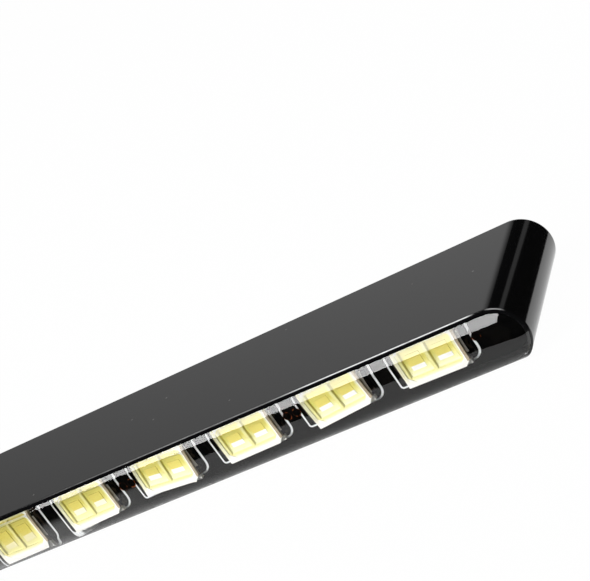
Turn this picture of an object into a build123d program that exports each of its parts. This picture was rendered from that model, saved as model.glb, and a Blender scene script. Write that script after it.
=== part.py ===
from build123d import *

import math
import os

# Slim daytime running light: a row of white LEDs on a narrow board, potted in a deep black housing.
# Millimetres. X runs along the row, the light leaves towards -Y, Z is up. The housing lies on its flat
# lower side at Z = 0 and the whole part is centred on the origin in X and Y.

# LED package, two chips in series
LED_LENGTH = 4.9
LED_WIDTH = 3.0
LED_HEIGHT = 0.9
LED_RIM = 0.28
RECESS_DEPTH = 0.1
RECESS_CORNER = 0.45
NOTCH_LEG = 0.45
NOTCH_DEPTH = 0.3

# Reflector cups, and the chip and phosphor layer on the floor of each
CUP_MARGIN = 0.2
CUP_DIVIDER = 0.22
CUP_SIDE = 0.3
CUP_DEPTH = 0.32
CUP_TAPER = 22.0
CHIP_LENGTH = 1.05
CHIP_WIDTH = 0.95
CHIP_HEIGHT = 0.14
PHOSPHOR_DEPTH = 0.08

# Soldered leads at both ends of a package
LEAD_REACH = 0.4
LEAD_INSET = 0.4
LEAD_FOOT = 0.12
LEAD_TOP = 0.14
LEAD_RISE = 0.5

# The row: number of packages, clear board between them, how far the row lies above the middle of the
# board, and how far each package sits askew after soldering
LED_COUNT = 12
LED_GAP = 2.02
END_GAP = 4.69
LED_RAISE = 0.15
LED_SKEW_DEG = (0.8, -4.5, -0.6, 5.5, 0.8, 0.4, -1.0, 1.2, -1.8, 0.6, -0.8, 1.4)

# Housing shell
SIDE_ROOM = 0.45
WALL = 0.35
SHOULDER = 0.35
BACK_WALL = 1.5
DEPTH = 12.4
RIM_ROUND = 0.06
BACK_ROUND = 0.3

# Board
BOARD_THICKNESS = 1.0
BOARD_CLEARANCE = 0.05

# Clear front: resin over the LEDs up to the rim, then a low cap with a flat crown, which runs over the
# rim's edge on the lower side and at the ends. The lower front edge is rounded through resin and wall.
FRONT_COVER = 1.7
CAP_RISE = 0.2
CROWN_WIDTH = 2.8
SPILL = 0.05
SPILL_DOWN = 0.12
SPILL_OUT = 0.1
EDGE_ROUND = 1.2

# Parts on the back of the board
RESISTOR_LENGTH = 3.2
RESISTOR_WIDTH = 1.6
RESISTOR_HEIGHT = 0.55
RESISTOR_CAP = 0.45
RESISTOR_CAP_STEP = 0.04
DIODE_LENGTH = 2.7
DIODE_WIDTH = 1.6
DIODE_HEIGHT = 1.1
DIODE_TAB = 0.5
DIODE_TAB_WIDTH = 0.6
DIODE_TAB_HEIGHT = 0.2
DIODE_FROM_END = 4.5

# Cable inlet in the back wall
CABLE_BORE = 1.8
GROMMET_WALL = 0.4
FLANGE_STEP = 0.5
FLANGE_THICKNESS = 0.8
LIP_STEP = 0.15
LIP_THICKNESS = 0.5
LIP_CLEARANCE = 0.03
FLANGE_CHAMFER = 0.25
INLET_FROM_END = 9.0

# Sizes that follow
LED_PITCH = LED_LENGTH + 2 * LEAD_REACH + LED_GAP
ROW_END = LED_LENGTH / 2 + LEAD_REACH + END_GAP
LENGTH = (LED_COUNT - 1) * LED_PITCH + 2 * ROW_END
POCKET_HEIGHT = LED_WIDTH + 2 * SIDE_ROOM
HEIGHT = POCKET_HEIGHT + 2 * WALL
STRAIGHT = LENGTH - HEIGHT
Z_MID = HEIGHT / 2

# Levels along Y, from the front of the cap to the back of the grommet's flange
Y_CROWN = -(CAP_RISE + DEPTH + FLANGE_THICKNESS) / 2
Y_RIM = Y_CROWN + CAP_RISE
Y_BOARD_FRONT = Y_RIM + FRONT_COVER + LED_HEIGHT
Y_BOARD_BACK = Y_BOARD_FRONT + BOARD_THICKNESS
Y_BACK = Y_RIM + DEPTH
Y_INNER_BACK = Y_BACK - BACK_WALL

NECK_DIAMETER = CABLE_BORE + 2 * GROMMET_WALL
LIP_DIAMETER = NECK_DIAMETER + 2 * LIP_STEP
Y_LIP = Y_INNER_BACK - LIP_THICKNESS
X_INLET = INLET_FROM_END - LENGTH / 2


def stadium(height, y_front, y_back):
    """A prism along Y with round ends, level with the housing's middle."""
    face = Plane((0, y_front, Z_MID), x_dir=(1, 0, 0), z_dir=(0, 1, 0))
    return extrude(face * SlotOverall(STRAIGHT + height, height), y_back - y_front)


def round_rod(diameter, y_front, y_back):
    """A round rod along Y on the axis of the cable inlet."""
    face = Plane((X_INLET, y_front, Z_MID), x_dir=(1, 0, 0), z_dir=(0, 1, 0))
    return extrude(face * Circle(diameter / 2), y_back - y_front)


# What the rounding takes off the lower front edge
corner_plane = Plane((-LENGTH / 2, Y_CROWN, 0), x_dir=(0, 1, 0), z_dir=(1, 0, 0))
corner = Rectangle(EDGE_ROUND, EDGE_ROUND, align=(Align.MIN, Align.MIN))
corner -= Pos(EDGE_ROUND, EDGE_ROUND) * Circle(EDGE_ROUND)
front_corner = extrude(corner_plane * corner, LENGTH)


# Housing: a moulded shell with a shoulder for the board, a cable hole and softened outer edges
def make_housing():
    shell = stadium(HEIGHT, Y_RIM, Y_BACK)
    shell = fillet(shell.faces().sort_by(Axis.Y)[0].edges(), RIM_ROUND)
    shell = fillet(shell.faces().sort_by(Axis.Y)[-1].edges(), BACK_ROUND)
    shell -= stadium(POCKET_HEIGHT, Y_RIM, Y_BOARD_BACK)
    shell -= stadium(POCKET_HEIGHT - 2 * SHOULDER, Y_BOARD_BACK, Y_INNER_BACK)
    shell -= round_rod(LIP_DIAMETER + 2 * LIP_CLEARANCE, Y_LIP, Y_INNER_BACK)
    return shell - round_rod(NECK_DIAMETER, Y_INNER_BACK, Y_BACK) - front_corner


# Board: fills the pocket apart from a small clearance, and seats on the shoulder
def make_board():
    return stadium(POCKET_HEIGHT - 2 * BOARD_CLEARANCE, Y_BOARD_FRONT, Y_BOARD_BACK)


# LED parts are drawn with the package centred on the origin, standing on the board at Y = 0
CUP_LENGTH = (LED_LENGTH - 2 * LED_RIM - 2 * CUP_MARGIN - CUP_DIVIDER) / 2
CUP_WIDTH = LED_WIDTH - 2 * LED_RIM - 2 * CUP_SIDE
Y_RECESS = RECESS_DEPTH - LED_HEIGHT
Y_CUP_FLOOR = Y_RECESS + CUP_DEPTH
CUP_CENTRES = [side * (CUP_LENGTH + CUP_DIVIDER) / 2 for side in (-1, 1)]


def package_face(x, y):
    return Plane((x, y, 0), x_dir=(1, 0, 0), z_dir=(0, 1, 0))


def make_cup(x):
    """The tapered hollow of one cup, from the recess floor down."""
    return extrude(package_face(x, Y_RECESS) * Rectangle(CUP_LENGTH, CUP_WIDTH), CUP_DEPTH, taper=CUP_TAPER)


def make_led_body():
    body = Pos(0, -LED_HEIGHT / 2, 0) * Box(LED_LENGTH, LED_HEIGHT, LED_WIDTH)
    recess = Rectangle(LED_LENGTH - 2 * LED_RIM, LED_WIDTH - 2 * LED_RIM)
    recess = chamfer(recess.vertices(), RECESS_CORNER)
    body -= extrude(package_face(0, -LED_HEIGHT) * recess, RECESS_DEPTH)
    for x in CUP_CENTRES:
        body -= make_cup(x)
    # The polarity notch cuts the lower corner at the +X end
    corner = Polygon(
        (LED_LENGTH / 2, LED_WIDTH / 2),
        (LED_LENGTH / 2 - NOTCH_LEG, LED_WIDTH / 2),
        (LED_LENGTH / 2, LED_WIDTH / 2 - NOTCH_LEG),
        align=None,
    )
    return body - extrude(package_face(0, -LED_HEIGHT) * corner, NOTCH_DEPTH)


def make_led_chips():
    y = Y_CUP_FLOOR - CHIP_HEIGHT / 2
    return [Pos(x, y, 0) * Box(CHIP_LENGTH, CHIP_HEIGHT, CHIP_WIDTH) for x in CUP_CENTRES]


def make_led_phosphor():
    layers = []
    for x, chip in zip(CUP_CENTRES, make_led_chips()):
        slab = Pos(x, Y_CUP_FLOOR - PHOSPHOR_DEPTH / 2, 0) * Box(CUP_LENGTH, PHOSPHOR_DEPTH, CUP_WIDTH)
        layers.append((make_cup(x) & slab) - chip)
    return layers


def make_led_leads():
    x = LED_LENGTH / 2
    profile = Polygon(
        (x, 0),
        (x + LEAD_REACH, 0),
        (x + LEAD_REACH, -LEAD_FOOT),
        (x + LEAD_TOP, -LEAD_RISE),
        (x, -LEAD_RISE),
        align=None,
    )
    lead = extrude(profile, LED_WIDTH / 2 - LEAD_INSET, both=True)
    return [lead, mirror(lead, about=Plane.YZ)]


# Clear potting: it fills the pocket in front of the board and stands on the rim as a cap with a flat
# crown and round shoulders, with the LEDs left out of it
def make_lens(embedded):
    edge = POCKET_HEIGHT / 2 + SPILL
    shoulder = edge - CROWN_WIDTH / 2
    radius = (shoulder**2 + CAP_RISE**2) / (2 * CAP_RISE)
    angle = math.degrees(math.asin(shoulder / radius))
    x_end = STRAIGHT / 2 + SPILL_OUT
    z_axis = Z_MID - SPILL_DOWN
    section = Plane((x_end, 0, z_axis), x_dir=(0, 1, 0), z_dir=(1, 0, 0))
    outline = [
        Line((Y_CROWN, 0), (Y_RIM, 0)),
        Line((Y_RIM, 0), (Y_RIM, edge)),
        CenterArc((Y_CROWN + radius, CROWN_WIDTH / 2), radius, 180 - angle, angle),
        Line((Y_CROWN, CROWN_WIDTH / 2), (Y_CROWN, 0)),
    ]
    upper = section * make_face(outline)
    end = revolve(upper, Axis((x_end, 0, z_axis), (0, 1, 0)), 180)
    bar = extrude(upper, -2 * x_end)
    bar += mirror(bar, about=Plane((0, 0, z_axis)))
    cap = bar + end + mirror(end, about=Plane.YZ)
    lens = stadium(POCKET_HEIGHT, Y_RIM, Y_BOARD_FRONT) + cap - front_corner
    return lens - embedded


# Chip resistor on the back of the board: a ceramic body with a plated cap at each end
def make_resistor():
    stand = (Align.CENTER, Align.MIN, Align.CENTER)
    core_length = RESISTOR_LENGTH - 2 * RESISTOR_CAP
    core_height = RESISTOR_HEIGHT - RESISTOR_CAP_STEP
    core_width = RESISTOR_WIDTH - 2 * RESISTOR_CAP_STEP
    core = Box(core_length, core_height, core_width, align=stand)
    cap = Box(RESISTOR_CAP, RESISTOR_HEIGHT, RESISTOR_WIDTH, align=stand)
    cap = Pos((RESISTOR_LENGTH - RESISTOR_CAP) / 2, 0, 0) * cap
    return core + cap + mirror(cap, about=Plane.YZ)


# Diode: a moulded block with a flat tab at each end, soldered to the back of the board
def make_diode():
    stand = (Align.CENTER, Align.MIN, Align.CENTER)
    block = Box(DIODE_LENGTH, DIODE_HEIGHT, DIODE_WIDTH, align=stand)
    tabs = Box(DIODE_LENGTH + 2 * DIODE_TAB, DIODE_TAB_HEIGHT, DIODE_TAB_WIDTH, align=stand)
    return block + tabs


# Grommet: a neck in the cable hole between an outer flange and a smaller inner lip
def make_grommet():
    flange_diameter = NECK_DIAMETER + 2 * FLANGE_STEP
    flange = round_rod(flange_diameter, Y_BACK, Y_BACK + FLANGE_THICKNESS)
    flange = chamfer(flange.faces().sort_by(Axis.Y)[-1].edges(), FLANGE_CHAMFER)
    neck = round_rod(NECK_DIAMETER, Y_INNER_BACK, Y_BACK)
    lip = round_rod(LIP_DIAMETER, Y_LIP, Y_INNER_BACK)
    bore = round_rod(CABLE_BORE, Y_LIP, Y_BACK + FLANGE_THICKNESS)
    return flange + neck + lip - bore


parts = {"housing": make_housing(), "pcb": make_board()}

# The LEDs are numbered from the +X end of the row
led_pieces = {
    "led_body": [make_led_body()],
    "led_chips": make_led_chips(),
    "led_phosphor": make_led_phosphor(),
    "led_leads": make_led_leads(),
}
led_x = [LENGTH / 2 - ROW_END - index * LED_PITCH for index in range(LED_COUNT)]
embedded = []
for index, x in enumerate(led_x):
    skew = LED_SKEW_DEG[index % len(LED_SKEW_DEG)]
    seat = Pos(x, Y_BOARD_FRONT, Z_MID + LED_RAISE) * Rot(0, skew, 0)
    for name, solids in led_pieces.items():
        placed = [seat * solid for solid in solids]
        parts[f"{name}_{index + 1:02d}"] = Compound(placed)
        embedded += placed
parts["lens"] = make_lens(embedded)

# One resistor lies behind the middle of each pair of LEDs, the diode by the board's -X end
pair_x = [(first + second) / 2 for first, second in zip(led_x[::2], led_x[1::2])]
parts["resistors"] = Compound([Pos(x, Y_BOARD_BACK, Z_MID) * make_resistor() for x in pair_x])
parts["diode"] = Pos(DIODE_FROM_END - LENGTH / 2, Y_BOARD_BACK, Z_MID) * make_diode()
parts["cable_grommet"] = make_grommet()

os.makedirs("parts", exist_ok=True)
for name, shape in parts.items():
    export_step(shape, f"parts/{name}.step")
print(f"length {LENGTH:.3f}, height {HEIGHT:.3f}, LED pitch {LED_PITCH:.3f}, nodes {len(parts)}")
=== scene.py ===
import math

import bmesh
import bpy
from mathutils import Euler, Matrix, Vector


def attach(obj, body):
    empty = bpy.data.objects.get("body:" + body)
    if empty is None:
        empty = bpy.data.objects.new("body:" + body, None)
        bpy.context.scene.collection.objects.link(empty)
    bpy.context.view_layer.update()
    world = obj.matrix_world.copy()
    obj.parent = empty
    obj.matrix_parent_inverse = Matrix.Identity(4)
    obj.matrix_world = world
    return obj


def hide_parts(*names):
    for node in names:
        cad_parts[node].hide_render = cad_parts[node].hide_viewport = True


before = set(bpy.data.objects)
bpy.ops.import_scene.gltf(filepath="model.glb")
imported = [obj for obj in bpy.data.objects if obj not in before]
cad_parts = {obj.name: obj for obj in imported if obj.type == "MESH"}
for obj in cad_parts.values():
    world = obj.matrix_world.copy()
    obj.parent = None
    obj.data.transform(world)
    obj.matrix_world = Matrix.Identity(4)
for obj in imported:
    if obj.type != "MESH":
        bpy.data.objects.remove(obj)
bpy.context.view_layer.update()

# Circuit board: a narrow strip of glass-fibre laminate with copper tracks under black solder mask.
# It is routed to a round-ended outline and drops into the housing until it seats on a shoulder.
# The clear potting wets it, as it does the LEDs, so that their own gloss is faint.
MM = 0.001
POTTED_IOR = 1.1


class Wire:
    """A socket of a node tree. Arithmetic on it adds Math nodes, and node() adds any other node."""

    def __init__(self, tree, socket=None):
        self.tree = tree
        self.socket = socket

    def node(self, kind, settings, sockets, output=0):
        made = self.tree.nodes.new(kind)
        for name, value in settings.items():
            setattr(made, name, value)
        for name, value in sockets.items():
            if isinstance(value, Wire):
                self.tree.links.new(value.socket, made.inputs[name])
            else:
                made.inputs[name].default_value = value
        if isinstance(output, tuple):
            return [Wire(self.tree, made.outputs[name]) for name in output]
        return Wire(self.tree, made.outputs[output]) if len(made.outputs) else None

    def math(self, operation, *values):
        return self.node("ShaderNodeMath", {"operation": operation}, dict(enumerate(values)))

    def __add__(self, other):
        return self.math("ADD", self, other)

    def __sub__(self, other):
        return self.math("SUBTRACT", self, other)

    def __rsub__(self, other):
        return self.math("SUBTRACT", other, self)

    def __mul__(self, other):
        return self.math("MULTIPLY", self, other)

    def __mod__(self, other):
        return self.math("FLOORED_MODULO", self, other)

    def __lt__(self, other):
        return self.math("LESS_THAN", self, other)

    def __gt__(self, other):
        return self.math("GREATER_THAN", self, other)

    def __abs__(self):
        return self.math("ABSOLUTE", self)

    __radd__ = __add__
    __rmul__ = __mul__

    def at_least(self, least):
        return self.math("MAXIMUM", self, least)

    def at_most(self, most):
        return self.math("MINIMUM", self, most)

    def root(self):
        return self.math("SQRT", self)

    def step(self, start, end):
        """0 before start, 1 after end, and smooth between."""
        sockets = {"Value": self, "From Min": start, "From Max": end}
        return self.node("ShaderNodeMapRange", {"interpolation_type": "SMOOTHSTEP"}, sockets)

    def tint(self, first, second):
        """The first colour where this value is 0, the second where it is 1."""
        sockets = {0: self, 6: first, 7: second}
        return self.node("ShaderNodeMix", {"data_type": "RGBA"}, sockets, 2)

    def noise(self, place, scale, detail=2.0):
        sockets = {"Vector": place, "Scale": scale, "Detail": detail}
        return self.node("ShaderNodeTexNoise", {}, sockets, "Fac")

    def place(self, centre=(0, 0, 0), turn=(0, 0, 0)):
        """Object coordinates in millimetres from a centre, turned with the piece."""
        coordinates = self.node("ShaderNodeTexCoord", {}, {}, "Object")
        sockets = {"Vector": coordinates, "Location": centre, "Rotation": turn, "Scale": (MM, MM, MM)}
        return self.node("ShaderNodeMapping", {"vector_type": "TEXTURE"}, sockets)

    def axes(self):
        return self.node("ShaderNodeSeparateXYZ", {}, {"Vector": self}, ("X", "Y", "Z"))

    def blend(self, first, second):
        """The first shader where this value is 0, the second where it is 1."""
        return self.node("ShaderNodeMixShader", {}, {0: self, 1: first, 2: second})


def new_finish(name):
    finish = bpy.data.materials.new(name)
    finish.use_nodes = True
    finish.node_tree.nodes.clear()
    return finish, Wire(finish.node_tree)


def surface(wire, shader):
    wire.node("ShaderNodeOutputMaterial", {}, {"Surface": shader})


def coat(wire, colour, grain, roughness, varied, relief, height=None, **others):
    """One principled shader. The grain varies its roughness, and gives its relief in millimetres
    unless another height does."""
    raised = grain if height is None else height
    bump = wire.node("ShaderNodeBump", {}, {"Height": raised, "Strength": 1.0, "Distance": relief * MM})
    sockets = {"Base Color": colour, "Roughness": roughness + grain * varied, "Normal": bump, **others}
    surface(wire, wire.node("ShaderNodeBsdfPrincipled", {}, sockets))


def rgb(*levels):
    """A colour written as it shows on a screen, 0 to 255, in linear light."""
    shares = [level / 255 for level in levels]
    linear = [((v + 0.055) / 1.055) ** 2.4 if v > 0.04045 else v / 12.92 for v in shares]
    return (*linear, 1.0)


def paint(finish, *nodes):
    for node in nodes:
        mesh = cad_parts[node].data
        mesh.materials.clear()
        mesh.materials.append(finish)


MASK_BLACK = rgb(2, 2, 2)
TRACK_BLACK = rgb(7, 6, 5)
TRACK_EDGE = (0.47, 0.53)
TRACK_SHARE = 0.6
WEAVE_SHARE = 0.1

mask_finish, wire = new_finish("black_solder_mask")
place = wire.place()
weave = wire.noise(place, scale=9.0)
tracks = wire.noise(place, scale=0.55).step(*TRACK_EDGE)
mask_colour = tracks.tint(MASK_BLACK, TRACK_BLACK)
height = tracks * TRACK_SHARE + weave * WEAVE_SHARE
coat(wire, mask_colour, weave, roughness=0.25, varied=0.2, relief=0.03, height=height, IOR=POTTED_IOR)
paint(mask_finish, "pcb")

# Legend: the outline round each LED, a thin coat of white ink printed on the solder mask.
# Its corners are tight on the left and wide on the right, where its line is a little wider too.
# That tells the polarity.
LED_PITCH = 7.72
LED_FIRST_X = 42.46
LED_SKEW_DEG = (0.8, -4.5, -0.6, 5.5, 0.8, 0.4, -1.0, 1.2, -1.8, 0.6, -0.8, 1.4)
BOARD_FRONT = -3.9 * MM
BAR_MIDDLE = 2.3 * MM
ROW_MIDDLE = BAR_MIDDLE + 0.15 * MM
LEGEND_LENGTH = 6.57 * MM
LEGEND_HEIGHT = 3.1 * MM
LEGEND_LINE = 0.13 * MM
LEGEND_EXTRA = 0.05 * MM
LEGEND_CORNER = 0.8 * MM
LEGEND_TIGHT_CORNER = 0.25 * MM
INK_THICKNESS = 0.02 * MM
INK_DEPTH = 1.5 * INK_THICKNESS
CORNER_STEPS = 8
INK_GREY = rgb(214, 218, 220)
INK_WHITE = rgb(250, 252, 252)
FACE_FRONT = Matrix.Rotation(math.pi / 2, 3, "X")
led_seats = [(LED_FIRST_X - LED_PITCH * number, skew) for number, skew in enumerate(LED_SKEW_DEG)]


def round_corners(shape, corners, offset):
    bmesh.ops.bevel(
        shape,
        geom=corners,
        offset=offset,
        segments=CORNER_STEPS,
        profile=0.5,
        affect="VERTICES",
        material=-1,
    )


def add_piece(name, shape, finish, slot, *nodes):
    """A finished mesh as a piece of the light, in the place of the nodes that it stands for."""
    mesh = bpy.data.meshes.new(name)
    shape.to_mesh(mesh)
    shape.free()
    mesh.materials.append(finish)
    piece = bpy.data.objects.new(name, mesh)
    bpy.context.scene.collection.objects.link(piece)
    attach(piece, "root")
    if nodes:
        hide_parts(*nodes)
    return piece


legend = bmesh.new()
for x, _ in led_seats:
    outline = bmesh.ops.create_grid(legend, x_segments=1, y_segments=1, size=0.5)["verts"]
    bmesh.ops.scale(legend, vec=(LEGEND_LENGTH, LEGEND_HEIGHT, 1), verts=outline)
    right = [v for v in outline if v.co.x > 0]
    left = [v for v in outline if v.co.x < 0]
    bmesh.ops.rotate(legend, cent=(0, 0, 0), matrix=FACE_FRONT, verts=outline)
    bmesh.ops.translate(legend, vec=(x * MM, BOARD_FRONT - INK_THICKNESS, ROW_MIDDLE), verts=outline)
    round_corners(legend, right, LEGEND_CORNER)
    round_corners(legend, left, LEGEND_TIGHT_CORNER)
panels = legend.faces[:]
bmesh.ops.inset_individual(legend, faces=panels, thickness=LEGEND_LINE)
for panel in panels:
    right_end = panel.calc_center_bounds().x + LEGEND_LENGTH / 2 - LEGEND_CORNER
    for vert in panel.verts:
        vert.co.x -= LEGEND_EXTRA * max((vert.co.x - right_end) / LEGEND_CORNER, 0)
bmesh.ops.delete(legend, geom=panels, context="FACES_KEEP_BOUNDARY")
ink = bmesh.ops.extrude_face_region(legend, geom=legend.faces[:])["geom"]
ink = [v for v in ink if isinstance(v, bmesh.types.BMVert)]
bmesh.ops.translate(legend, vec=(0, INK_DEPTH, 0), verts=ink)
bmesh.ops.recalc_face_normals(legend, faces=legend.faces[:])

ink_finish, wire = new_finish("white_legend_ink")
grain = wire.noise(wire.place(), scale=14.0)
ink_colour = grain.step(0.3, 0.7).tint(INK_GREY, INK_WHITE)
coat(wire, ink_colour, grain, roughness=0.5, varied=0.2, relief=0.01, IOR=POTTED_IOR)
add_piece("board_legend", legend, ink_finish, "led_white")

# Vias: plated holes that carry each pair's current to the back of the board, beside every LED.
# They are drilled through the outline, which breaks at a hole of painted shade with a thin copper ring.
VIA_OFFSET = 3.45
VIA_RISE = -0.05 * MM
VIA_LIFT = 1.5 * INK_THICKNESS
VIA_RADIUS = 0.34 * MM
VIA_RING = 0.05 * MM
VIA_STEPS = 28
COPPER_DARK = rgb(20, 12, 8)
COPPER_BRIGHT = rgb(150, 76, 36)
HOLE_SHADE_BLACK = rgb(2, 2, 2)
HOLE_SHADE_BROWN = rgb(8, 7, 6)

vias = bmesh.new()
for number, (x, _) in enumerate(led_seats):
    offset = VIA_OFFSET if number % 2 == 0 else -VIA_OFFSET
    disc = bmesh.ops.create_circle(vias, cap_ends=True, segments=VIA_STEPS, radius=VIA_RADIUS)["verts"]
    bmesh.ops.rotate(vias, cent=(0, 0, 0), matrix=FACE_FRONT, verts=disc)
    seat = ((x + offset) * MM, BOARD_FRONT - VIA_LIFT, ROW_MIDDLE + VIA_RISE)
    bmesh.ops.translate(vias, vec=seat, verts=disc)
holes = vias.faces[:]
bmesh.ops.inset_individual(vias, faces=holes, thickness=VIA_RING)
for hole in holes:
    hole.material_index = 1

copper_finish, wire = new_finish("via_copper")
grain = wire.noise(wire.place(), scale=5.0)
copper = grain.step(0.5, 0.7).tint(COPPER_DARK, COPPER_BRIGHT)
coat(wire, copper, grain, roughness=0.35, varied=0.2, relief=0.02, IOR=POTTED_IOR)
via_piece = add_piece("board_vias", vias, copper_finish, "lead_tin")

# Each hole is a flat disc, painted dark as the shade inside it.
hole_shade_finish, wire = new_finish("via_hole_painted_shade")
grain = wire.noise(wire.place(), scale=12.0)
hole_shade_colour = grain.tint(HOLE_SHADE_BLACK, HOLE_SHADE_BROWN)
coat(wire, hole_shade_colour, grain, roughness=0.6, varied=0.2, relief=0.01, IOR=POTTED_IOR)
via_piece.data.materials.append(hole_shade_finish)

# LED packages: a white moulded frame with a shallow recess and two tapered cups, one for each chip.
# The silicone in the cups is loaded with yellow phosphor, which also tints the moulding round them.
# Its yellow is deeper near the bar's middle as painted shade. A grey strip of painted shade runs down the
# right end.
CUP_END = 1.97
CUP_EDGE = 0.92
RECESS_FLOOR = -0.8
CUP_FADE = 0.3
SKIN = 0.02
HALO_REACH = 0.34
HALO_RAGGED = 0.16
LEFT_STAIN = 0.3
LEFT_RIM = -2.15
LEFT_RIM_SHADE_RISE = (-1.3, -0.5)
CUP_SHADE_RISE = (-0.9, 0.1)
PHOSPHOR_SHADE_RISE = (-0.8, 0.3)
STRIP_START = 2.24
STRIP_FOOT = -1.15
CHIP_REFLECTION_TOP = -0.12
CHIP_IOR = 1.3
PAINTED_LIGHT_START = 4.0
PAINTED_LIGHT_RUN = 24.0
PAINTED_LIGHT_LEAST = 0.3
MOULDING_WHITE = rgb(250, 249, 243)
MOULDING_SHADE = rgb(240, 238, 230)
RIM_PAINTED_SHADE = rgb(208, 205, 152)
STRIP_PAINTED_SHADE = rgb(172, 158, 134)
PHOSPHOR_GRAIN = rgb(244, 242, 190)
PHOSPHOR_BURNT = rgb(190, 168, 80)
CHIP_PAINTED_REFLECTION = rgb(255, 255, 252)
# Of each pair, the first colour is for the packages at the bar's middle, in painted shade, the second for
# its ends, in painted light.
HALO_YELLOW = rgb(222, 212, 108), rgb(238, 233, 146)
CUP_WALL_LIT = rgb(236, 232, 160), rgb(250, 250, 226)
CUP_WALL_SHADED = rgb(198, 184, 60), rgb(240, 228, 112)
PHOSPHOR_LIT = rgb(222, 212, 112), rgb(247, 247, 202)
PHOSPHOR_SHADED = rgb(196, 182, 62), rgb(232, 222, 112)
CHIP_DULL = rgb(196, 180, 70), rgb(238, 222, 112)
CHIP_CLEAR = rgb(208, 194, 88), rgb(246, 234, 136)


def led_place(wire, seat_x, skew):
    return wire.place((seat_x * MM, BOARD_FRONT, ROW_MIDDLE), (0, math.radians(skew), 0))


# How much painted light falls on a package, less towards the bar's middle.
def painted_light_share(seat_x):
    return min(max((abs(seat_x) + PAINTED_LIGHT_START) / PAINTED_LIGHT_RUN, PAINTED_LIGHT_LEAST), 1)


def tone_by_painted_light(seat_x, pair):
    """The colour of a pair for a package's place, in painted light that dims towards the bar's middle."""
    return tuple(first + (second - first) * painted_light_share(seat_x) for first, second in zip(*pair))


def paint_moulding(number, seat_x, skew):
    finish, wire = new_finish(f"white_led_moulding_{number:02d}")
    place = led_place(wire, seat_x, skew)
    x, y, z = place.axes()
    grain = wire.noise(place, scale=7.0, detail=3.0)
    over_end = (x.at_least(0 - x - LEFT_STAIN) - CUP_END).at_least(0.0)
    over_edge = (abs(z) - CUP_EDGE).at_least(0.0)
    reach = (over_end * over_end + over_edge * over_edge).root()
    halo = 1 - (reach + (grain - 0.5) * HALO_RAGGED).step(0.0, HALO_REACH)
    sunk = y.step(RECESS_FLOOR - 3 * SKIN, RECESS_FLOOR - SKIN)
    in_cup = y.step(RECESS_FLOOR + SKIN, RECESS_FLOOR + CUP_FADE) * (reach < SKIN)
    # The left rim of the frame is darkened towards its top as painted shade.
    on_shaded_rim = (x < LEFT_RIM) * z.step(*LEFT_RIM_SHADE_RISE)
    # A grey strip at the right end is painted shade, for the package's end face in shadow.
    on_shaded_strip = (x > STRIP_START) * (z > STRIP_FOOT)
    # The cup walls are paler low down as painted light and darker high up as painted shade.
    wall_colour = z.step(*CUP_SHADE_RISE).tint(tone_by_painted_light(seat_x, CUP_WALL_LIT), tone_by_painted_light(seat_x, CUP_WALL_SHADED))
    colour = (grain * 0.6).tint(MOULDING_WHITE, MOULDING_SHADE)
    colour = (halo * sunk * 0.85).tint(colour, tone_by_painted_light(seat_x, HALO_YELLOW))
    colour = (on_shaded_rim * 0.7).tint(colour, RIM_PAINTED_SHADE)
    colour = in_cup.tint(colour, wall_colour)
    colour = on_shaded_strip.tint(colour, STRIP_PAINTED_SHADE)
    coat(wire, colour, grain, roughness=0.45, varied=0.15, relief=0.02, IOR=POTTED_IOR)
    paint(finish, f"led_body_{number:02d}")


def paint_phosphor(number, seat_x, skew):
    finish, wire = new_finish(f"yellow_phosphor_{number:02d}")
    place = led_place(wire, seat_x, skew)
    z = place.axes()[2]
    grain = wire.noise(place, scale=22.0, detail=3.0)
    burnt = wire.noise(place, scale=6.0).step(0.66, 0.74)
    # The phosphor is paler low in the cups as painted light and darker high up as painted shade.
    colour = z.step(*PHOSPHOR_SHADE_RISE).tint(tone_by_painted_light(seat_x, PHOSPHOR_LIT), tone_by_painted_light(seat_x, PHOSPHOR_SHADED))
    colour = (grain.step(0.3, 0.7) * 0.3).tint(colour, PHOSPHOR_GRAIN)
    colour = (burnt * 0.5).tint(colour, PHOSPHOR_BURNT)
    coat(wire, colour, grain, roughness=0.4, varied=0.2, relief=0.02, IOR=POTTED_IOR)
    paint(finish, f"led_phosphor_{number:02d}")


def paint_chips(number, seat_x, skew):
    finish, wire = new_finish(f"coated_chip_{number:02d}")
    place = led_place(wire, seat_x, skew)
    z = place.axes()[2]
    grain = wire.noise(place, scale=18.0)
    colour = grain.step(0.3, 0.7).tint(tone_by_painted_light(seat_x, CHIP_DULL), tone_by_painted_light(seat_x, CHIP_CLEAR))
    # The lower half of each chip is painted white as a reflection of the lamp, fainter near the bar's
    # middle.
    colour = ((z < CHIP_REFLECTION_TOP) * painted_light_share(seat_x)).tint(colour, CHIP_PAINTED_REFLECTION)
    coat(wire, colour, grain, roughness=0.3, varied=0.1, relief=0.005, IOR=CHIP_IOR)
    paint(finish, f"led_chips_{number:02d}")


for number, (seat_x, skew) in enumerate(led_seats, 1):
    paint_moulding(number, seat_x, skew)
    paint_phosphor(number, seat_x, skew)
    paint_chips(number, seat_x, skew)

# LED leads: bent copper strip, tin plated, two to a package and soldered flat to the board's pads.
# The bend at the top has a painted highlight; the slope down to the pad is a dark painted reflection.
LEAD_BEND = 2.6
LEAD_HALF_WIDTH = 0.7
SLOPE_REFLECTION_BLACK = rgb(10, 9, 8)
SLOPE_REFLECTION_BROWN = rgb(58, 50, 40)
TIN_PAINTED_HIGHLIGHT = rgb(206, 202, 192)


def along_row(x, pitch):
    """How far a place lies from the middle of the nearest of the pieces in a row."""
    return abs((x + pitch / 2) % pitch - pitch / 2)


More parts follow.
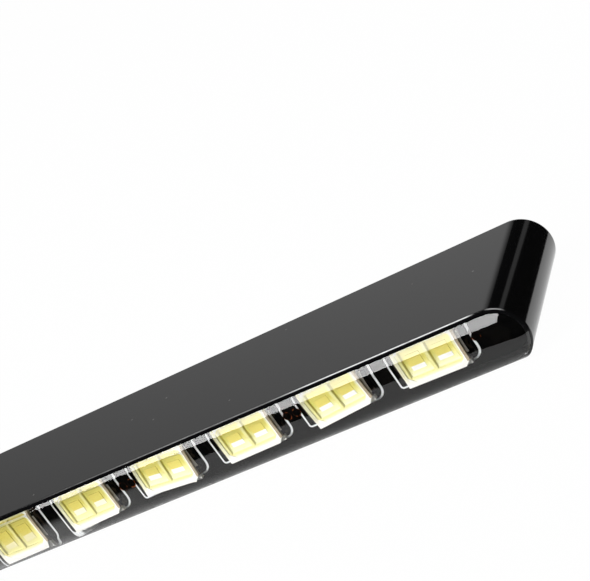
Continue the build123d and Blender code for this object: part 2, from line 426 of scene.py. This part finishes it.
tin_finish, wire = new_finish("tinned_lead")
place = wire.place((LED_FIRST_X * MM, 0, ROW_MIDDLE))
x, _, z = place.axes()
grain = wire.noise(place, scale=8.0, detail=3.0)
slope_streaks = wire.noise(place, scale=3.0).step(0.5, 0.62)
# The bend carries a painted highlight, and the slope a dark painted reflection with brown streaks.
bend_highlight = (along_row(x, LED_PITCH) < LEAD_BEND) * (abs(z) < LEAD_HALF_WIDTH)
slope_reflection = slope_streaks.tint(SLOPE_REFLECTION_BLACK, SLOPE_REFLECTION_BROWN)
tin = bend_highlight.tint(slope_reflection, TIN_PAINTED_HIGHLIGHT)
coat(wire, tin, grain, roughness=0.3, varied=0.25, relief=0.03, IOR=POTTED_IOR)
paint(tin_finish, *[f"led_leads_{number:02d}" for number in range(1, len(led_seats) + 1)])

# Chip resistors: one behind each pair of LEDs, a ceramic slip with a black overglaze.
# Plated caps at both ends take the solder.
RESISTOR_PITCH = 2 * LED_PITCH
RESISTOR_FIRST_X = LED_FIRST_X - LED_PITCH / 2
RESISTOR_CORE = 1.15
GLAZE_BLACK = rgb(22, 22, 23)
PLATING = rgb(206, 204, 198)

resistor_finish, wire = new_finish("glazed_resistor")
place = wire.place((RESISTOR_FIRST_X * MM, 0, 0))
grain = wire.noise(place, scale=10.0)
cap = along_row(place.axes()[0], RESISTOR_PITCH) > RESISTOR_CORE
glaze = cap.tint(GLAZE_BLACK, PLATING)
coat(wire, glaze, grain, roughness=0.35, varied=0.2, relief=0.02, Metallic=cap)
paint(resistor_finish, "resistors")

# Diode: a black moulded block with two flat tinned tabs, soldered to the back of the board.
# It keeps the light safe from a reversed supply.
DIODE_X = -45.5
DIODE_HALF = 1.36
DIODE_BLACK = rgb(26, 26, 27)

diode_finish, wire = new_finish("moulded_diode")
place = wire.place((DIODE_X * MM, 0, 0))
grain = wire.noise(place, scale=12.0)
tab = abs(place.axes()[0]) > DIODE_HALF
block = tab.tint(DIODE_BLACK, PLATING)
coat(wire, block, grain, roughness=0.45, varied=0.2, relief=0.02, Metallic=tab)
paint(diode_finish, "diode")

# Housing: one deep black moulding with round ends, open at the narrow front, polished all over.
# A shoulder inside carries the board, and the back wall has a hole for the cable inlet.
# The crisp upper edge of the front has a painted highlight towards the right end, and dust lies on the
# gloss.
RIM = -6.5 * MM
BACK = 5.9 * MM
INNER_BACK = 4.4 * MM
BOARD_BACK = -2.9 * MM
STRAIGHT_HALF = 47.7 * MM
OUTER_RADIUS = 2.3 * MM
POCKET_RADIUS = 1.95 * MM
SHOULDER_RADIUS = 1.6 * MM
RIM_ROUND = 0.06 * MM
RIM_FLAT = OUTER_RADIUS - POCKET_RADIUS - 1.5 * RIM_ROUND
RIM_STEPS = 10
BACK_ROUND = 0.3 * MM
END_STEPS = 56
MERGE = 0.0005 * MM
CROWN = -6.7 * MM
EDGE_ROUND = 1.2 * MM
GRIP = 0.02 * MM
SINK_RUN = 0.3 * MM
SINK_END = 48.0 * MM
INLET_X = -41.0 * MM
INLET_RADIUS = 1.3 * MM
DRILL_DEPTH = 2.4 * MM
DRILL_STEPS = 64
SHELL_SHARP_DEG = 30
GLOSS_IOR = 1.5
GLOSS_BLACK = rgb(9, 9, 10)
DUST_GREY = rgb(96, 96, 94)
EDGE_HIGHLIGHT_WHITE = rgb(255, 255, 255)
DUST_SCALE = 0.42
DUST_SIZE = 0.035
HIGHLIGHT_ABOVE = 1.5
FAINT_HIGHLIGHT = (4.0, 22.0)
FAINT_SHARE = 0.16
STRONG_HIGHLIGHT = (30.0, 36.0)
STRONG_SHARE = 0.5
HIGHLIGHT_STOP = (46.6, 47.4)
END_HIGHLIGHT = (48.0, 48.4)
END_HIGHLIGHT_STOP = (48.9, 49.3)
END_SHARE = 0.3
POCKET_BLACK = rgb(4, 4, 4)
POCKET_GREY = rgb(12, 12, 12)


def draw(shape, end_x, axis_z, points):
    """A line through points given as radius and depth, on the upper side of the right end's axis."""
    line = [shape.verts.new((end_x, depth, axis_z + radius)) for radius, depth in points]
    for first, second in zip(line, line[1:]):
        shape.edges.new((first, second))
    return line


def sweep_bar(shape, end_x, axis_z):
    """Takes the drawn line round the right end, along both straight sides and round the left end."""
    right, left = Vector((end_x, 0, axis_z)), Vector((-end_x, 0, axis_z))
    upper = shape.edges[:]
    turn = {"axis": (0, 1, 0), "angle": math.pi, "steps": END_STEPS}
    lower = bmesh.ops.spin(shape, geom=shape.verts[:] + upper, cent=right, **turn)["geom_last"]
    lower = [edge for edge in lower if isinstance(edge, bmesh.types.BMEdge)]
    ends = []
    for edges in (upper, lower):
        moved = bmesh.ops.extrude_edge_only(shape, edges=edges)["geom"]
        points = [item for item in moved if isinstance(item, bmesh.types.BMVert)]
        bmesh.ops.translate(shape, vec=left - right, verts=points)
        ends.append(points + [item for item in moved if isinstance(item, bmesh.types.BMEdge)])
    bmesh.ops.spin(shape, geom=ends[1], cent=left, **turn)
    bmesh.ops.remove_doubles(shape, verts=shape.verts[:], dist=MERGE)
    bmesh.ops.recalc_face_normals(shape, faces=shape.faces[:])


def bar_radius(point):
    """How far a point lies from the bar's long axis, or from its end where it is past that."""
    return math.hypot(max(abs(point.x) - STRAIGHT_HALF, 0), point.z - BAR_MIDDLE)


def round_lower_edge(shape, sink):
    """Pushes what stands in front of the rounded lower edge back to it, and into the wall by a little."""
    for vert in shape.verts:
        under = EDGE_ROUND - vert.co.z
        if under > 0:
            round_y = CROWN + EDGE_ROUND - math.sqrt(max(EDGE_ROUND**2 - under**2, 0))
            run = SINK_RUN if abs(vert.co.x) > SINK_END else GRIP
            sunk = min(max((bar_radius(vert.co) - POCKET_RADIUS) / run + 0.5, 0), 1)
            vert.co.y = max(vert.co.y, round_y + sink * sunk)


def smooth(piece, sharp_deg):
    piece.data.polygons.foreach_set("use_smooth", [True] * len(piece.data.polygons))
    piece.data.set_sharp_from_angle(angle=math.radians(sharp_deg))


shell = bmesh.new()
corners = draw(
    shell,
    STRAIGHT_HALF,
    BAR_MIDDLE,
    [
        (0, INNER_BACK),
        (SHOULDER_RADIUS, INNER_BACK),
        (SHOULDER_RADIUS, BOARD_BACK),
        (POCKET_RADIUS, BOARD_BACK),
        *[(POCKET_RADIUS + RIM_FLAT * step / RIM_STEPS, RIM) for step in range(RIM_STEPS + 1)],
        (OUTER_RADIUS, RIM),
        (OUTER_RADIUS, BACK),
        (0, BACK),
    ],
)
round_corners(shell, [corners[-3]], RIM_ROUND)
round_corners(shell, [corners[-2]], BACK_ROUND)
sweep_bar(shell, STRAIGHT_HALF, BAR_MIDDLE)
round_lower_edge(shell, 0)
for face in shell.faces:
    centre = face.calc_center_median()
    inside = bar_radius(centre) < POCKET_RADIUS + GRIP and RIM < centre.y < INNER_BACK + GRIP
    face.material_index = 1 if inside else 0

gloss_finish, wire = new_finish("polished_black_moulding")
place = wire.place()
x, y, z = place.axes()
grain = wire.noise(place, scale=26.0, detail=4.0)
ripple = wire.noise(place, scale=1.1)
dust_sockets = {"Vector": place, "Scale": DUST_SCALE}
dust = wire.node("ShaderNodeTexVoronoi", {}, dust_sockets, "Distance") < DUST_SIZE
past_end = (abs(x) - STRAIGHT_HALF / MM).at_least(0.0)
above = z - BAR_MIDDLE / MM
radius = (past_end * past_end + above * above).root()
at_rim = (radius > (OUTER_RADIUS - RIM_ROUND) / MM) * (y < (RIM + RIM_ROUND) / MM)
# A painted highlight along the upper front edge, and a short one round the right end.
along_edge = x.step(*FAINT_HIGHLIGHT) * FAINT_SHARE + x.step(*STRONG_HIGHLIGHT) * STRONG_SHARE
along_edge = along_edge * (1 - x.step(*HIGHLIGHT_STOP))
round_end = x.step(*END_HIGHLIGHT) * (1 - x.step(*END_HIGHLIGHT_STOP)) * END_SHARE
painted_edge_highlight = at_rim * (above > HIGHLIGHT_ABOVE) * (along_edge + round_end) * (0.4 + ripple * 1.2)
gloss_colour = dust.tint(GLOSS_BLACK, DUST_GREY)
gloss_colour = painted_edge_highlight.tint(gloss_colour, EDGE_HIGHLIGHT_WHITE)
height = grain * 0.3 + ripple
coat(wire, gloss_colour, grain, roughness=0.07, varied=0.05, relief=0.0015, height=height, IOR=GLOSS_IOR)
housing = add_piece("housing_shell", shell, gloss_finish, "housing_black", "housing")

wall_finish, wire = new_finish("potted_black_wall")
grain = wire.noise(wire.place(), scale=20.0, detail=3.0)
wall_colour = grain.tint(POCKET_BLACK, POCKET_GREY)
coat(wire, wall_colour, grain, roughness=0.5, varied=0.2, relief=0.01, IOR=POTTED_IOR)
housing.data.materials.append(wall_finish)

drill = bmesh.new()
bmesh.ops.create_cone(
    drill,
    cap_ends=True,
    segments=DRILL_STEPS,
    radius1=INLET_RADIUS,
    radius2=INLET_RADIUS,
    depth=DRILL_DEPTH,
)
bmesh.ops.rotate(drill, cent=(0, 0, 0), matrix=FACE_FRONT, verts=drill.verts[:])
bmesh.ops.translate(drill, vec=(INLET_X, (INNER_BACK + BACK) / 2, BAR_MIDDLE), verts=drill.verts[:])
drill_mesh = bpy.data.meshes.new("inlet_drill")
drill.to_mesh(drill_mesh)
drill.free()
drill_tool = bpy.data.objects.new("inlet_drill", drill_mesh)
bpy.context.scene.collection.objects.link(drill_tool)
cut = housing.modifiers.new("inlet_hole", "BOOLEAN")
cut.object = drill_tool
cut.operation = "DIFFERENCE"
cut.solver = "EXACT"
drilled = bpy.data.meshes.new_from_object(housing.evaluated_get(bpy.context.evaluated_depsgraph_get()))
housing.modifiers.clear()
housing.data = drilled
bpy.data.objects.remove(drill_tool)
smooth(housing, SHELL_SHARP_DEG)
even_shading = housing.modifiers.new("even_shading", "WEIGHTED_NORMAL")
even_shading.keep_sharp = True
even_shading.weight = 100

# Cable inlet: a moulded rubber grommet, pushed through the back wall until its lip snaps open inside.
# Its bore is left free for the lead.
RUBBER_BLACK = rgb(18, 18, 18)
RUBBER_GREY = rgb(34, 34, 33)

rubber_finish, wire = new_finish("black_rubber")
grain = wire.noise(wire.place(), scale=16.0, detail=4.0)
rubber_colour = grain.step(0.35, 0.7).tint(RUBBER_BLACK, RUBBER_GREY)
coat(wire, rubber_colour, grain, roughness=0.6, varied=0.25, relief=0.05)
paint(rubber_finish, "cable_grommet")

# Clear front: water-clear resin, poured over the LEDs and set in the mouth of the housing as a low cap.
# Its lower edge is rounded together with the wall, and its upper edge is bevelled where it meets the rim.
# Towards the middle of the bar its face leans down a little. Bevel and lean are in its shading.
CAP_RADIUS = 2.0 * MM
CROWN_HALF = 1.4 * MM
CAP_END_X = STRAIGHT_HALF + 0.1 * MM
CAP_MIDDLE = BAR_MIDDLE - 0.12 * MM
CAP_RISE = RIM - CROWN
SHOULDER = CAP_RADIUS - CROWN_HALF
SHOULDER_BEND = (SHOULDER**2 + CAP_RISE**2) / (2 * CAP_RISE)
KEY = 0.1 * MM
CROWN_STEPS = 28
SHOULDER_STEPS = 24
FRONT_SHARP_DEG = 40
BEVEL_EDGE = 3.57
BEVEL_END_X = 44.2
BEVEL_CLIMB = 0.0115
BEVEL_SLOPE = 0.364
LEAN_TOP = 3.7
LEAN_RUN = 3.35
LEAN_SLOPE = 0.233
LEAN_SPREAD = 9.0
LEAN_MIDDLE = 3.0
RESIN_IOR = 1.5
RIPPLE_HEIGHT = 0.004 * MM
WHITE = (1, 1, 1, 1)

resin = bmesh.new()
section = [(CROWN_HALF * step / CROWN_STEPS, CROWN) for step in range(CROWN_STEPS)]
for step in range(SHOULDER_STEPS + 1):
    out = SHOULDER * step / SHOULDER_STEPS
    section.append((CROWN_HALF + out, CROWN + SHOULDER_BEND - math.sqrt(SHOULDER_BEND**2 - out**2)))
section += [
    (CAP_RADIUS, RIM + GRIP),
    (CAP_RADIUS + KEY, RIM + GRIP),
    (CAP_RADIUS + KEY, BOARD_FRONT + GRIP),
    (0, BOARD_FRONT + GRIP),
]
draw(resin, CAP_END_X, CAP_MIDDLE, section)
sweep_bar(resin, CAP_END_X, CAP_MIDDLE)
round_lower_edge(resin, GRIP)
bmesh.ops.recalc_face_normals(resin, faces=resin.faces[:])


def vector_math(wire, operation, sockets):
    return wire.node("ShaderNodeVectorMath", {"operation": operation}, sockets)


resin_finish, wire = new_finish("clear_resin")
place = wire.place()
x, y, z = place.axes()
ripple = wire.noise(place, scale=0.9)
normal, inner_side = wire.node("ShaderNodeNewGeometry", {}, {}, ("Normal", "Backfacing"))
outward = 1 - inner_side * 2
bevelled = z > BEVEL_EDGE + (BEVEL_END_X - abs(x)) * BEVEL_CLIMB
drop = (LEAN_TOP - z).at_least(0.0).at_most(LEAN_RUN)
near_middle = wire.math("EXPONENT", (x * x + LEAN_MIDDLE**2).root() * (-1 / LEAN_SPREAD))
lean = near_middle * drop * drop * (LEAN_RUN - drop) * -LEAN_SLOPE
tilt = lean * (1 - bevelled) + bevelled * BEVEL_SLOPE
upper_face = (z > EDGE_ROUND / MM) * (y < RIM / MM)
forward = vector_math(wire, "SCALE", {0: (0, -1, 0), "Scale": outward})
normal = wire.node("ShaderNodeMix", {"data_type": "VECTOR"}, {0: upper_face, 4: normal, 5: forward}, 1)
rise = wire.node("ShaderNodeCombineXYZ", {}, {"Z": tilt * outward})
normal = vector_math(wire, "NORMALIZE", {0: vector_math(wire, "ADD", {0: normal, 1: rise})})
bump_sockets = {"Height": ripple, "Strength": 1.0, "Distance": RIPPLE_HEIGHT, "Normal": normal}
bump = wire.node("ShaderNodeBump", {}, bump_sockets)
glass_sockets = {"Color": WHITE, "Roughness": 0.0, "IOR": RESIN_IOR, "Normal": bump}
glass = wire.node("ShaderNodeBsdfGlass", {}, glass_sockets)
clear = wire.node("ShaderNodeBsdfTransparent", {}, {"Color": WHITE})
shadow_ray = wire.node("ShaderNodeLightPath", {}, {}, "Is Shadow Ray")
surface(wire, shadow_ray.blend(glass, clear))
front = add_piece("clear_front", resin, resin_finish, "clear_potting", "lens")
smooth(front, FRONT_SHARP_DEG)

# Studio: a white table in a dim room, which has a grey wall behind, a bright slit and a pale ceiling.
# The table stays white to the camera and keeps the bar's shadow. The gloss mirrors only a white card
# that lies round the bar. From below the table is open to view.
TABLE_HALF = 3.0
TABLE_GAP = 0.05 * MM
TABLE_WHITENESS = 0.985
SHEET = (0.9, 0.9, 0.9, 1)
CLOTH = (0.01, 0.01, 0.01, 1)
CARD_HALF = 54.5
CARD_BACK = 29.9
CARD_FRONT = -11.8
CARD_SOFT = 0.01
CARD_END_X = 40.0
CARD_END_SLOPE = 0.13
CARD_NOTCH_HALF = 20.0
CARD_NOTCH_SLOPE = 0.12
CARD_NOTCH_SOFT = 0.2

table_shape = bmesh.new()
bmesh.ops.create_grid(table_shape, x_segments=1, y_segments=1, size=TABLE_HALF)
bmesh.ops.translate(table_shape, vec=(0, 0, -TABLE_GAP), verts=table_shape.verts[:])
table_mesh = bpy.data.meshes.new("table")
table_shape.to_mesh(table_mesh)
table_shape.free()
table = bpy.data.objects.new("table", table_mesh)
bpy.context.scene.collection.objects.link(table)


def light_paths(wire):
    """1 where the camera sees straight on or through the clear resin, and 1 where a gloss mirrors."""
    camera_ray, transmission_ray, diffuse_depth, glossy_depth = wire.node(
        "ShaderNodeLightPath",
        {},
        {},
        ("Is Camera Ray", "Is Transmission Ray", "Diffuse Depth", "Glossy Depth"),
    )
    straight = (diffuse_depth < 0.5) * (glossy_depth < 0.5)
    seen = camera_ray.at_least(transmission_ray * straight)
    mirrored = (glossy_depth > 0.5) * (diffuse_depth < 0.5)
    return seen, mirrored


table_finish, wire = new_finish("white_table")
x, y, _ = wire.place().axes()
seen, mirrored = light_paths(wire)
sheet = wire.node("ShaderNodeBsdfDiffuse", {}, {"Color": SHEET})
white = wire.node("ShaderNodeEmission", {}, {"Color": WHITE, "Strength": 1.0})
cloth = wire.node("ShaderNodeEmission", {}, {"Color": CLOTH, "Strength": 1.0})
notch = (CARD_NOTCH_HALF - abs(x)).at_least(0.0)
card_front = (x - CARD_END_X).at_least(0.0) * CARD_END_SLOPE + notch * CARD_NOTCH_SLOPE + CARD_FRONT
card_edge = y.step(card_front, card_front + CARD_SOFT + notch * CARD_NOTCH_SOFT)
card = (abs(x) < CARD_HALF) * card_edge * (y < CARD_BACK)
upper_side = mirrored.blend((seen * TABLE_WHITENESS).blend(sheet, white), card.blend(cloth, white))
underside = wire.node("ShaderNodeBsdfTransparent", {}, {"Color": WHITE})
from_below = wire.node("ShaderNodeNewGeometry", {}, {}, "Backfacing")
surface(wire, from_below.blend(upper_side, underside))
table_mesh.materials.append(table_finish)

# Room and lamps: the room's wall, slit and ceiling are given by direction, as parts of a unit vector,
# and only the gloss mirrors them. A softbox lights the bar from the front left, and of the two lamps
# the gloss mirrors the narrow strip under it alone.
BEHIND = 0.2
WALL_RIGHT = -0.13
WALL_CEILING = 0.6
WALL_FADE = (-0.315, -0.1)
WALL_FADED = 0.8
WALL_LEVEL = 0.88
WALL_SLOPE = 0.9
SLIT = (0.2, 0.31)
SLIT_FOOT = 0.3
SLIT_LEVEL = 0.28
CEILING = (0.75, 1.0)
CEILING_LEVEL = 0.6
DIM_LEVEL = 0.01
MATT_LEVEL = 0.35
BLACK = (0, 0, 0, 1)
LAMP_WIDTH = 0.18
LAMP_RIGHT = -0.074
LAMP_FRONT = -0.3
STRIP_LAMP_BOTTOM = 0.07
STRIP_LAMP_HEIGHT = 0.03
STRIP_LAMP_LEVEL = 10.0
SOFTBOX_BOTTOM = 0.1
SOFTBOX_HEIGHT = 0.44
SOFTBOX_LEVEL = 11.5

room = bpy.data.worlds.new("room")
room.use_nodes = True
room.node_tree.nodes.clear()
bpy.context.scene.world = room
wire = Wire(room.node_tree)
x, y, z = wire.node("ShaderNodeTexCoord", {}, {}, "Generated").axes()
seen, mirrored = light_paths(wire)
wall = (x < WALL_RIGHT) * (y > BEHIND) * (z < WALL_CEILING)
wall_level = (1 - x.step(*WALL_FADE) * WALL_FADED) * (WALL_LEVEL + x.at_most(WALL_FADE[0]) * WALL_SLOPE)
slit = (x > SLIT[0]) * (x < SLIT[1]) * (y > BEHIND) * (z > SLIT_FOOT)
ceiling = z.step(*CEILING)
gloss_level = wall * wall_level + slit * SLIT_LEVEL + ceiling * CEILING_LEVEL + DIM_LEVEL
level = seen + (1 - seen) * (mirrored * gloss_level + (1 - mirrored) * MATT_LEVEL)
unlit = wire.node("ShaderNodeBackground", {}, {"Color": BLACK, "Strength": 1.0})
lit = wire.node("ShaderNodeBackground", {}, {"Color": WHITE, "Strength": 1.0})
wire.node("ShaderNodeOutputWorld", {}, {"Surface": level.blend(unlit, lit)})


def hang_lamp(name, bottom, height, level, in_gloss):
    lamp = bpy.data.lights.new(name, "AREA")
    lamp.shape = "RECTANGLE"
    lamp.size = LAMP_WIDTH
    lamp.size_y = height
    lamp.energy = level * math.pi * LAMP_WIDTH * height
    box = bpy.data.objects.new(name, lamp)
    bpy.context.scene.collection.objects.link(box)
    box.location = (LAMP_RIGHT - LAMP_WIDTH / 2, LAMP_FRONT, bottom + height / 2)
    box.rotation_euler = (math.radians(90), 0, 0)
    box.visible_camera = False
    box.visible_glossy = in_gloss


hang_lamp("front_strip", STRIP_LAMP_BOTTOM, STRIP_LAMP_HEIGHT, STRIP_LAMP_LEVEL, in_gloss=True)
hang_lamp("front_softbox", SOFTBOX_BOTTOM, SOFTBOX_HEIGHT, SOFTBOX_LEVEL, in_gloss=False)

# Camera: close to the round end and a little above it, rolled so that the bar climbs to the right.
# Its place, angles and focal length are fitted to the bar's straight edges and to the row of LEDs.
CAMERA_PLACE = (0.084319, -0.087213, 0.040726)
CAMERA_TURN_DEG = (68.3741, 32.9643, 17.4983)
FOCAL_LENGTH = 91.832
SENSOR_WIDTH = 36.0
SHIFT_X = -0.02393
SHIFT_Y = 0.00522
CLIP_START = 0.005

lens = bpy.data.cameras.new("camera")
lens.lens = FOCAL_LENGTH
lens.sensor_width = SENSOR_WIDTH
lens.shift_x = SHIFT_X
lens.shift_y = SHIFT_Y
lens.clip_start = CLIP_START
camera = bpy.data.objects.new("camera", lens)
bpy.context.scene.collection.objects.link(camera)
camera_turn = Euler([math.radians(angle) for angle in CAMERA_TURN_DEG])
camera.matrix_world = Matrix.LocRotScale(Vector(CAMERA_PLACE), camera_turn, None)
bpy.context.scene.camera = camera

bpy.context.scene.view_settings.view_transform = "Standard"
